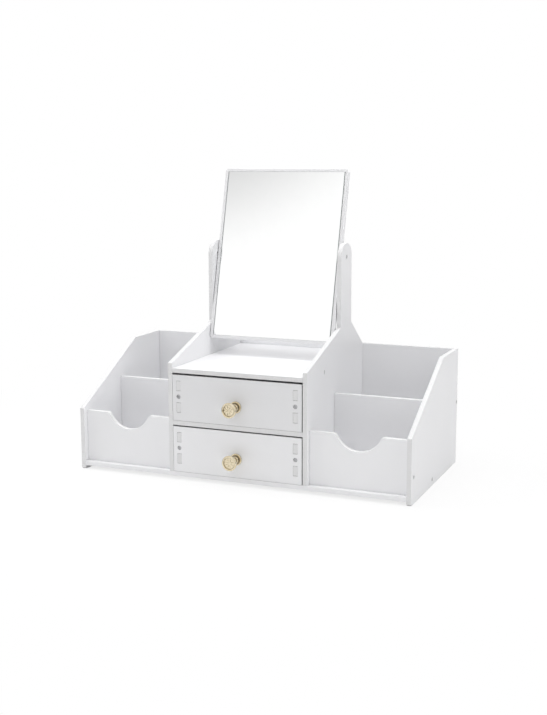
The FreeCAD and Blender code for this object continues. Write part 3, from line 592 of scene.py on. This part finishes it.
flange_low, flange_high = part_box("upper_knob_flange")
KNOB_RADIUS = radius_of("upper_knob")
FLANGE_RADIUS = radius_of("upper_knob_flange")
FLANGE_HEIGHT = (flange_high.y - flange_low.y) / MM
KNOB_REACH = (flange_high.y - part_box("upper_knob")[0].y) / MM
RIM_WIDTH = 2.5
DISH_DEPTH = 1.5
FACE_RADIUS = KNOB_RADIUS - RIM_WIDTH
FACE_HEIGHT = KNOB_REACH - DISH_DEPTH
NECK_RADIUS = 3.9
FOOT_RADIUS = 4.9
KNOB_CORNERS = (  # radius, distance from the drawer front and rounding, in mm
    (0, FLANGE_HEIGHT, 0), (FOOT_RADIUS, FLANGE_HEIGHT, 0.3), (FOOT_RADIUS, FLANGE_HEIGHT + 1.2, 0.5),
    (NECK_RADIUS, FLANGE_HEIGHT + 2.4, 0.8), (NECK_RADIUS, KNOB_REACH - 9.5, 3.5),
    (KNOB_RADIUS - 3.0, KNOB_REACH - 4.6, 2.0), (KNOB_RADIUS, KNOB_REACH - 3.8, 1.1),
    (KNOB_RADIUS, KNOB_REACH, 1.6), (FACE_RADIUS, KNOB_REACH, 0.9), (FACE_RADIUS, FACE_HEIGHT, 0.1),
)
FLANGE_CORNERS = (
    (0, 0, 0), (FLANGE_RADIUS, 0, 0.2), (FLANGE_RADIUS, FLANGE_HEIGHT, 1.1),
    (FLANGE_RADIUS - 2.0, FLANGE_HEIGHT, 0.7), (FLANGE_RADIUS - 2.4, 0.9, 0.5),
    (FOOT_RADIUS + 0.2, 0.9, 0.3), (FOOT_RADIUS - 0.2, FLANGE_HEIGHT, 0.2), (0, FLANGE_HEIGHT, 0),
)
print(f"knob {2 * KNOB_RADIUS:.1f} mm across, {KNOB_REACH:.1f} mm out from the drawer front")

# %% Knob flower
PETALS = 8
PETAL_RISE = 0.75
PETAL_CREST = 0.8
PETAL_FULLNESS = 0.7
BOSS_RADIUS = 1.9
FLOWER_RADIUS = 8.1
ON_FACE = 0.01


def face_rings():
    """The knob's face as fine rings, from the foot of its polished ring to the middle."""
    shares = [ring / FACE_RINGS for ring in range(FACE_RINGS + 1)]
    return [(FACE_RADIUS * (1 - share), FACE_HEIGHT, 0) for share in shares[1:]]


def petal_height(radius, angle):
    """How far the flower stands up from the face at a place, in mm."""
    if radius < BOSS_RADIUS:
        return PETAL_RISE * math.sqrt(1 - (radius / BOSS_RADIUS) ** 2)
    along = (radius - BOSS_RADIUS) / (FLOWER_RADIUS - BOSS_RADIUS)
    rise = math.sin(math.pi * along ** PETAL_CREST)
    return PETAL_RISE * rise * abs(math.cos(angle * PETALS / 2)) ** PETAL_FULLNESS


def turned(corners):
    """A piece turned from corners in mm."""
    outline = [(radius * MM, height * MM) for radius, height in rounded(corners)]
    return lathe(outline, TURN_STEPS)


def turned_knob():
    """The knob, with its face lifted into the flower."""
    bm = turned([*KNOB_CORNERS, *face_rings()])
    for vert in bm.verts:
        radius = math.hypot(vert.co.x, vert.co.y) / MM
        if radius < FLOWER_RADIUS and vert.co.z > (FACE_HEIGHT - ON_FACE) * MM:
            vert.co.z += petal_height(radius, math.atan2(vert.co.y, vert.co.x)) * MM
    return bm


print(f"flower of {PETALS} petals, {PETAL_RISE} mm high")

# %% Knobs
OUTWARD = Vector((0, -1, 0))
for level in LEVELS:
    low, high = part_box(f"{level}_knob_flange")
    seat = Vector(((low.x + high.x) / 2, high.y, (low.z + high.z) / 2))
    for node, bm in ((f"{level}_knob", turned_knob()), (f"{level}_knob_flange", turned(FLANGE_CORNERS))):
        piece = finish_piece(f"{node}_gold", lay(bm, seat, OUTWARD), [gold], node)
        print(f"{node}: {len(piece.data.polygons)} faces")

# %% [markdown]
# ## Screws
#
# The boards are held by small zinc-plated screws with a cross recess, and a drawer corner
# by a machine screw and a square nut. The two screws through the centre panels stand in
# plain sight, so they are enamelled white and hardly show. One screw of each kind is
# enough: it is turned with fine rings, its thread is a formula that pulls the rings in
# between the turns of a helix, and the recess is cut with a Boolean modifier. Where each
# screw goes is read from the frame: every island of a screw node is one screw, its longest
# side is its direction, and its wider end is its head.

# %% Screw finishes
ZINC = (0.62, 0.62, 0.64)
ZINC_DULL = (0.45, 0.45, 0.46)
ZINC_CLOUDS_PER_M = 900
ZINC_ROUGHNESS = (0.26, 0.42)
ZINC_METAL = 0.9
SCRATCHES_PER_M = 4000
SCRATCH_DEPTH = 0.000005
ENAMEL = (0.88, 0.88, 0.89)
ENAMEL_SHADE = (0.84, 0.84, 0.85)
ENAMEL_ROUGHNESS = (0.25, 0.4)
DROPS_PER_M = 1500
DROP_DEPTH = 0.00001


def zinc_plating():
    """Bright zinc with dull clouds and hair scratches."""
    material, tree, shader = new_material("zinc_plating")
    cloud = noise(tree, ZINC_CLOUDS_PER_M, detail=3)
    scratches = noise(tree, SCRATCHES_PER_M, detail=1)
    tree.links.new(tint(tree, cloud, ZINC_DULL, ZINC), shader.inputs["Base Color"])
    tree.links.new(spread(tree, scratches, *ZINC_ROUGHNESS), shader.inputs["Roughness"])
    tree.links.new(bump(tree, scratches, SCRATCH_DEPTH), shader.inputs["Normal"])
    shader.inputs["Metallic"].default_value = ZINC_METAL
    return material


def white_enamel():
    """White paint, sprayed on in fine drops."""
    material, tree, shader = new_material("white_enamel")
    drops = noise(tree, DROPS_PER_M, detail=2)
    tree.links.new(tint(tree, drops, ENAMEL_SHADE, ENAMEL), shader.inputs["Base Color"])
    tree.links.new(spread(tree, drops, *ENAMEL_ROUGHNESS), shader.inputs["Roughness"])
    tree.links.new(bump(tree, drops, DROP_DEPTH), shader.inputs["Normal"])
    return material


zinc = zinc_plating()
enamel = white_enamel()
print("screw finishes:", zinc.name, enamel.name)

# %% One screw
SCREW_STEPS = 24
RINGS_A_PITCH = 4
THREAD_CORE = 0.78
SHANK_SHARE = 0.5
BLADE_WIDTH = 0.30
BLADE_REACH = 0.64
BLADE_DEPTH = 0.55
TIP_REACH = 0.55
TIP_WIDTH = 0.8
HEAD_OUTLINE = (  # share of the head's radius, and share of its height below the top
    (0, 0), (0.55, 0), (0.80, 0.02), (0.94, 0.14), (1, 0.36), (1, 1),
)
TIPS = {  # length and radius of the tip in shank radii, and where its shoulder is
    "pointed": (2.0, 0.50, 0.35),
    "blunt": (0.3, 0.55, 0.35),
}


def threaded(bm, radius, start, end, pitch):
    """Pull the shank in between the crests of a helical thread."""
    for vert in bm.verts:
        across = math.hypot(vert.co.x, vert.co.y)
        if -end < vert.co.z < -start and across > radius * SHANK_SHARE:
            turns = -vert.co.z / pitch - math.atan2(vert.co.y, vert.co.x) / FULL_TURN
            crest = abs(2 * (turns % 1) - 1)
            new_across = across * (THREAD_CORE + (1 - THREAD_CORE) * crest)
            vert.co.x *= new_across / across
            vert.co.y *= new_across / across
    return bm


def cross_cutter(head, depth):
    """Two tapered blades, crossed, as the tip of a driver."""
    bm = bmesh.new()
    blade_sides = (2 * BLADE_REACH * head, BLADE_WIDTH * head, 2 * depth)
    for turn in (0, math.pi / 2):
        blade = bmesh.ops.create_cube(bm, size=1)["verts"]
        bmesh.ops.scale(bm, vec=blade_sides, verts=blade)
        tip = [vert for vert in blade if vert.co.z < 0]
        bmesh.ops.scale(bm, vec=(TIP_REACH, TIP_WIDTH, 1), verts=tip)
        bmesh.ops.rotate(bm, matrix=Matrix.Rotation(turn, 3, "Z"), verts=blade)
    return bm


def carved(body, cutter):
    """The mesh that is left of one bmesh when another is cut from it."""
    objects = []
    for name, bm in (("carved", body), ("cutter", cutter)):
        mesh = bpy.data.meshes.new(name)
        bm.to_mesh(mesh)
        bm.free()
        thing = bpy.data.objects.new(name, mesh)
        scene.collection.objects.link(thing)
        objects.append(thing)
    cut = objects[0].modifiers.new("recess", "BOOLEAN")
    cut.object = objects[1]
    cut.operation = "DIFFERENCE"
    cut.solver = "EXACT"
    cut.use_self = True
    depsgraph = bpy.context.evaluated_depsgraph_get()
    result = bpy.data.meshes.new_from_object(objects[0].evaluated_get(depsgraph))
    for thing in objects:
        bpy.data.objects.remove(thing)
    return result


def screw_mesh(head, length, head_height, radius, pitch, tip):
    """A screw whose head's top is at the origin and whose shank runs down."""
    tip_length, tip_radius, shoulder = TIPS[tip]
    point = tip_length * radius
    step = pitch / RINGS_A_PITCH
    rows = int((length - head_height - point) / step)
    outline = [(share * head, -drop * head_height) for share, drop in HEAD_OUTLINE]
    outline += [(radius, -head_height - row * step) for row in range(rows + 1)]
    outline += [(tip_radius * radius, -length + point * shoulder), (0, -length)]
    bm = threaded(lathe(outline, SCREW_STEPS), radius, head_height + step, length - point, pitch)
    return carved(bm, cross_cutter(head, BLADE_DEPTH * head_height))


print(f"one screw is turned in {SCREW_STEPS} steps, with {RINGS_A_PITCH} rings to a turn of thread")

# %% Screw places
HEAD_SLICE = 0.2 * MM


def islands(bm):
    """The separate solids of a bmesh, as lists of vertices."""
    left, groups = set(bm.verts), []
    while left:
        group, fresh = [], [left.pop()]
        while fresh:
            vert = fresh.pop()
            group.append(vert)
            near = {edge.other_vert(vert) for edge in vert.link_edges} & left
            left -= near
            fresh.extend(near)
        groups.append(group)
    return groups


def screw_place(points):
    """Where a screw's head is, which way the head faces, and the screw's measures."""
    lows = [min(axis) for axis in zip(*points)]
    highs = [max(axis) for axis in zip(*points)]
    sides = [high - low for low, high in zip(lows, highs)]
    along = sides.index(max(sides))
    across = [axis for axis in range(3) if axis != along]
    middle = Vector([(low + high) / 2 for low, high in zip(lows, highs)])

    def radius_near(end):
        near = [point for point in points if abs(point[along] - end) < HEAD_SLICE]
        return max(math.hypot(*[point[axis] - middle[axis] for axis in across]) for point in near)

    head_high = radius_near(highs[along]) > radius_near(lows[along])
    facing = Vector((0, 0, 0))
    facing[along] = 1 if head_high else -1
    top = middle.copy()
    top[along] = highs[along] if head_high else lows[along]
    return top, facing, sides[along], max(sides[axis] for axis in across) / 2


def screws(node, name, measures, finish=zinc):
    """All the screws of a node, each a copy of one pattern laid at its place."""
    source = welded_copy(node)
    places = [screw_place([tuple(vert.co) for vert in group]) for group in islands(source)]
    places.sort(key=lambda place: tuple(place[0]))
    source.free()
    length, head = places[0][2:]
    pattern = screw_mesh(head, length, *measures)
    bm = bmesh.new()
    for top, facing, _, _ in places:
        count = len(bm.verts)
        bm.from_mesh(pattern)
        bm.verts.ensure_lookup_table()
        lay(bm, top, facing, bm.verts[count:])
    piece = finish_piece(name, bm, [finish], node)
    print(f"{name}: {len(places)} screws of {length / MM:.0f} mm, {len(piece.data.polygons)} faces")


print(f"a screw's head is its wider end, felt within {HEAD_SLICE / MM:.1f} mm of the end")

# %% Screws of the carcass, the drawers and the pivots
BOARD_SCREW = (1.8 * MM, 1.5 * MM, 1.3 * MM, "pointed")  # head height, shank radius, pitch and tip
CORNER_SCREW = (1.8 * MM, 1.5 * MM, 1.0 * MM, "blunt")
KNOB_SCREW = (2.2 * MM, 2.0 * MM, 1.4 * MM, "blunt")
PIVOT_SCREW = (2.2 * MM, 1.5 * MM, 1.0 * MM, "blunt")
BOARD_SCREWS = ("left_side_screws", "right_side_screws", "shelf_screws", "base_plate_screws",
                "bay_screws", "back_board_screws")
for node in BOARD_SCREWS:
    screws(node, f"{node}_set", BOARD_SCREW, enamel if node == "shelf_screws" else zinc)
for level in LEVELS:
    screws(f"{level}_drawer_screws", f"{level}_corner_screws", CORNER_SCREW)
    screws(f"{level}_knob_screw", f"{level}_knob_bolt", KNOB_SCREW)
screws("pivot_screws", "pivot_screw_pair", PIVOT_SCREW)

# %% [markdown]
# ## Small hidden hardware
#
# Square nuts, threaded inserts, black nylon washers and strips of foam tape keep the simple
# shapes that they have in the frame. All their sharp edges are eased like the boards' long
# ones, but by less, and each gets the finish of its own material. Of these only the washers
# show, as a dark dot between the mirror and its post.

# %% Small hardware
HARDWARE_EASED = 0.00012
PLAIN_FINISHES = {  # dark and light colour, grains in a metre, roughness, depth of relief, metal
    "black_nylon": ((0.03, 0.03, 0.03), (0.05, 0.05, 0.05), 1200, (0.35, 0.5), 0.00001, 0.0),
    "foam_tape": ((0.70, 0.70, 0.68), (0.82, 0.82, 0.80), 2500, (0.8, 0.95), 0.00006, 0.0),
    "turned_brass": ((0.62, 0.46, 0.20), (0.74, 0.58, 0.30), 1800, (0.25, 0.4), 0.00001, 1.0),
    "black_paper": ((0.02, 0.02, 0.02), (0.03, 0.03, 0.03), 900, (0.8, 0.9), 0.0001, 0.0),
}


def plain_finish(name):
    """A finish that needs only one noise, for colour, gloss and relief."""
    dark, light, grains, rough, depth, metal = PLAIN_FINISHES[name]
    material, tree, shader = new_material(name)
    grain = noise(tree, grains, detail=3)
    tree.links.new(tint(tree, grain, dark, light), shader.inputs["Base Color"])
    tree.links.new(spread(tree, grain, *rough), shader.inputs["Roughness"])
    tree.links.new(bump(tree, grain, depth), shader.inputs["Normal"])
    shader.inputs["Metallic"].default_value = metal
    return material


nylon = plain_finish("black_nylon")
foam = plain_finish("foam_tape")
brass = plain_finish("turned_brass")
HARDWARE = [("pivot_washers", nylon, "black_nylon"), ("pivot_inserts", brass, "insert_brass"),
            ("mounting_tape", foam, "tape"), ("upper_drawer_nuts", zinc, "screw_steel"),
            ("lower_drawer_nuts", zinc, "screw_steel")]
for node, finish, slot in HARDWARE:
    bm = welded_copy(node)
    edges = [edge for edge in bm.edges if is_sharp(edge)]
    bmesh.ops.bevel(bm, geom=edges, offset=HARDWARE_EASED, offset_type="OFFSET", affect="EDGES",
                    segments=1, profile=0.5, material=-1, clamp_overlap=True)
    finish_piece(f"{node}_set", bm, [finish], node)
    print(f"{node}: {len(edges)} edges eased")

# %% [markdown]
# ## The floor and the background
#
# The object stands on a plain white sweep. A diffuse floor alone would turn grey under
# this soft light, and more light would burn the object out. So the floor mixes its diffuse
# shader with plain white for camera rays. Near the object a little of the diffuse shader is
# left, so its shadow stays, faint, and farther out that share fades away. Right under the
# boards an Ambient Occlusion node lets more of the diffuse shader through, which draws the
# contact line. Glossy rays see the same floor, so metal and glass reflect a white studio.
# Two black cards lie on the floor, left and right of the front. Only reflections show them,
# and they put the dark bands into the polished knobs that make them read as metal.

# %% Floor
FLOOR_HALF = 5.0
FLOOR_WHITE = (0.86, 0.86, 0.86, 1)
FLOOR_ROUGHNESS = 0.9
FLOOR_KEEPS = 0.14
SHADOW_INNER = 0.35
SHADOW_OUTER = 0.75
UNDER_REACH = 0.012
UNDER_FREE = 0.4
UNDER_DARKEST = 0.8


def floor_material():
    """Plain white to the camera and to reflections, but for a share that keeps the shadow."""
    material, tree, shader = new_material("floor_sweep")
    shader.inputs["Base Color"].default_value = FLOOR_WHITE
    shader.inputs["Roughness"].default_value = FLOOR_ROUGHNESS
    shader.inputs["Specular IOR Level"].default_value = 0.0
    glow = add_node(tree, "ShaderNodeEmission", {"Color": (1, 1, 1, 1), "Strength": 1.0})
    path = add_node(tree, "ShaderNodeLightPath")
    seen = add_node(tree, "ShaderNodeMath", {
        0: path.outputs["Is Camera Ray"], 1: path.outputs["Is Glossy Ray"]}, operation="MAXIMUM")
    away = add_node(tree, "ShaderNodeVectorMath", {
        0: add_node(tree, "ShaderNodeTexCoord").outputs["Object"]}, operation="LENGTH")
    white = add_node(tree, "ShaderNodeMapRange", {
        "Value": away.outputs["Value"], "From Min": SHADOW_INNER, "From Max": SHADOW_OUTER,
        "To Min": 1 - FLOOR_KEEPS, "To Max": 1.0}, interpolation_type="SMOOTHSTEP")
    over = add_node(tree, "ShaderNodeAmbientOcclusion", {"Distance": UNDER_REACH}, samples=SHADE_SAMPLES)
    open_floor = spread(tree, over.outputs["AO"], UNDER_DARKEST, 1, 0, UNDER_FREE)
    shown = add_node(tree, "ShaderNodeMath", {
        0: white.outputs["Result"], 1: open_floor}, operation="MULTIPLY")
    share = add_node(tree, "ShaderNodeMath", {
        0: seen.outputs["Value"], 1: shown.outputs["Value"]}, operation="MULTIPLY")
    mix = add_node(tree, "ShaderNodeMixShader", {0: share.outputs["Value"]})
    tree.links.new(shader.outputs["BSDF"], mix.inputs[1])
    tree.links.new(glow.outputs["Emission"], mix.inputs[2])
    tree.links.new(mix.outputs["Shader"], tree.nodes["Material Output"].inputs["Surface"])
    return material


bm = bmesh.new()
bmesh.ops.create_grid(bm, x_segments=1, y_segments=1, size=FLOOR_HALF)
floor_mesh = bpy.data.meshes.new("floor")
bm.to_mesh(floor_mesh)
bm.free()
floor_mesh.materials.append(floor_material())
floor = bpy.data.objects.new("floor", floor_mesh)
scene.collection.objects.link(floor)
print(f"floor {2 * FLOOR_HALF:.0f} m square")

# %% Black cards
CARD_NEAR = 0.26
CARD_FAR = 0.95
CARD_DEPTH = 0.75
CARD_MIDDLE = -0.53
CARD_LIFT = 0.001
paper = plain_finish("black_paper")


def black_card(side):
    """A card on the floor beside the front of the object, which only reflections show."""
    bm = bmesh.new()
    bmesh.ops.create_grid(bm, x_segments=1, y_segments=1, size=0.5)
    bmesh.ops.scale(bm, vec=(CARD_FAR - CARD_NEAR, CARD_DEPTH, 1), verts=bm.verts)
    place = Vector((side * (CARD_NEAR + CARD_FAR) / 2, CARD_MIDDLE, CARD_LIFT))
    bmesh.ops.translate(bm, vec=place, verts=bm.verts)
    mesh = bpy.data.meshes.new("black_card")
    bm.to_mesh(mesh)
    bm.free()
    mesh.materials.append(paper)
    card = bpy.data.objects.new("black_card", mesh)
    scene.collection.objects.link(card)
    card.visible_camera = False
    card.visible_diffuse = False
    card.visible_shadow = False


for side in (-1, 1):
    black_card(side)
print(f"two black cards, {(CARD_FAR - CARD_NEAR) / MM:.0f} by {CARD_DEPTH / MM:.0f} mm")

# %% [markdown]
# ## The light
#
# The studio is an even room with five large soft boxes: one overhead, one on each side, one
# in front and one behind. They are hidden from reflections, because a polished face would
# show them as hard white squares. The room light comes from the world. What the camera
# sees of the world is plain white. What a mirror or a polished knob sees of it is painted
# apart: white, with one soft grey flag high on the front left, which is what gives the
# mirror its faint gradient, and with dark low sides on the left and the right, which give
# the knobs their depth. A small strip light hangs just above the shelf and points at the
# back board, because the mirror keeps the soft boxes from that narrow face.

# %% World
ROOM_LIGHT = 0.25
FLAG_FROM_FRONT = math.radians(-37.7)
FLAG_HEIGHT = math.radians(36.3)
FLAG_GREY = 0.67
FLAG_INNER = math.radians(12.0)
FLAG_OUTER = math.radians(18.2)
STUDIO_WHITE = 1.03
SIDE_GREY = 0.22
SIDE_START = 0.80
SIDE_FULL = 0.97
SIDE_TOP = 0.14


def world_studio():
    """A world that lights the room evenly and shows a painted studio to reflections."""
    world = bpy.data.worlds.new("studio")
    scene.world = world
    world.use_nodes = True
    tree = world.node_tree
    background = tree.nodes["Background"]
    way = add_node(tree, "ShaderNodeTexCoord").outputs["Generated"]
    flag_way = (math.sin(FLAG_FROM_FRONT) * math.cos(FLAG_HEIGHT),
                -math.cos(FLAG_FROM_FRONT) * math.cos(FLAG_HEIGHT), math.sin(FLAG_HEIGHT))
    off_flag = add_node(tree, "ShaderNodeVectorMath", {0: way, 1: flag_way}, operation="DOT_PRODUCT")
    fade = add_node(tree, "ShaderNodeMapRange", {
        "Value": off_flag.outputs["Value"], "From Min": math.cos(FLAG_INNER),
        "From Max": math.cos(FLAG_OUTER), "To Min": FLAG_GREY, "To Max": STUDIO_WHITE},
        interpolation_type="SMOOTHSTEP")
    parts = add_node(tree, "ShaderNodeSeparateXYZ", {"Vector": way})
    sideways = add_node(tree, "ShaderNodeMath", {0: parts.outputs["X"]}, operation="ABSOLUTE")
    sides = add_node(tree, "ShaderNodeMapRange", {
        "Value": sideways.outputs["Value"], "From Min": SIDE_START, "From Max": SIDE_FULL,
        "To Min": 1.0, "To Max": SIDE_GREY}, interpolation_type="SMOOTHSTEP")
    high = add_node(tree, "ShaderNodeMapRange", {
        "Value": parts.outputs["Z"], "From Min": SIDE_TOP, "From Max": 2 * SIDE_TOP},
        interpolation_type="SMOOTHSTEP")
    lit = add_node(tree, "ShaderNodeMath", {
        0: high.outputs["Result"], 1: sides.outputs["Result"]}, operation="MAXIMUM")
    mirrored = add_node(tree, "ShaderNodeMath", {
        0: fade.outputs["Result"], 1: lit.outputs["Value"]}, operation="MULTIPLY")
    path = add_node(tree, "ShaderNodeLightPath")
    sharp = add_node(tree, "ShaderNodeMath", {
        0: path.outputs["Is Glossy Ray"], 1: path.outputs["Is Transmission Ray"]}, operation="MAXIMUM")
    shown = add_node(tree, "ShaderNodeMix", {
        "Factor": sharp.outputs["Value"], 2: 1.0, 3: mirrored.outputs["Value"]}, data_type="FLOAT")
    seen = add_node(tree, "ShaderNodeMath", {
        0: sharp.outputs["Value"], 1: path.outputs["Is Camera Ray"]}, operation="MAXIMUM")
    level = add_node(tree, "ShaderNodeMix", {
        "Factor": seen.outputs["Value"], 2: ROOM_LIGHT, 3: shown.outputs["Result"]}, data_type="FLOAT")
    tree.links.new(level.outputs["Result"], background.inputs["Strength"])
    background.inputs["Color"].default_value = (1, 1, 1, 1)
    return world


world_studio()
print(f"room light {ROOM_LIGHT}")

# %% Soft boxes
AIM = Vector((0, 0, 0.12))
SOFT_BOXES = (  # name, place, side in metres, watts
    ("overhead_box", (0.0, -0.1, 1.7), 1.4, 13.6),
    ("right_box", (1.3, -0.3, 1.2), 1.2, 9.5),
    ("left_box", (-1.3, -0.3, 1.2), 1.2, 13.2),
    ("front_box", (0.0, -1.6, 1.2), 1.2, 4.5),
    ("rear_box", (0.0, 1.2, 1.4), 1.2, 7.7),
)
for name, place, side, watts in SOFT_BOXES:
    lamp = bpy.data.lights.new(name, "AREA")
    lamp.shape = "SQUARE"
    lamp.size = side
    lamp.energy = watts
    box = bpy.data.objects.new(name, lamp)
    box.location = place
    box.rotation_euler = (AIM - Vector(place)).to_track_quat("-Z", "Y").to_euler()
    box.visible_glossy = False
    scene.collection.objects.link(box)
    print(f"{name}: {side} m square, {watts} W")

# %% Strip light
STRIP_PLACE = (0.0, 0.0, 0.169)
STRIP_WIDTH = 0.186
STRIP_HEIGHT = 0.008
STRIP_SPREAD = math.radians(30)
STRIP_WATTS = 0.0025

strip = bpy.data.lights.new("shelf_strip", "AREA")
strip.shape = "RECTANGLE"
strip.size = STRIP_WIDTH
strip.size_y = STRIP_HEIGHT
strip.spread = STRIP_SPREAD
strip.energy = STRIP_WATTS
strip_light = bpy.data.objects.new("shelf_strip", strip)
strip_light.location = STRIP_PLACE
strip_light.rotation_euler = (math.radians(90), 0, 0)
strip_light.visible_glossy = False
scene.collection.objects.link(strip_light)
print(f"strip light over the shelf, {1000 * STRIP_WATTS} mW")
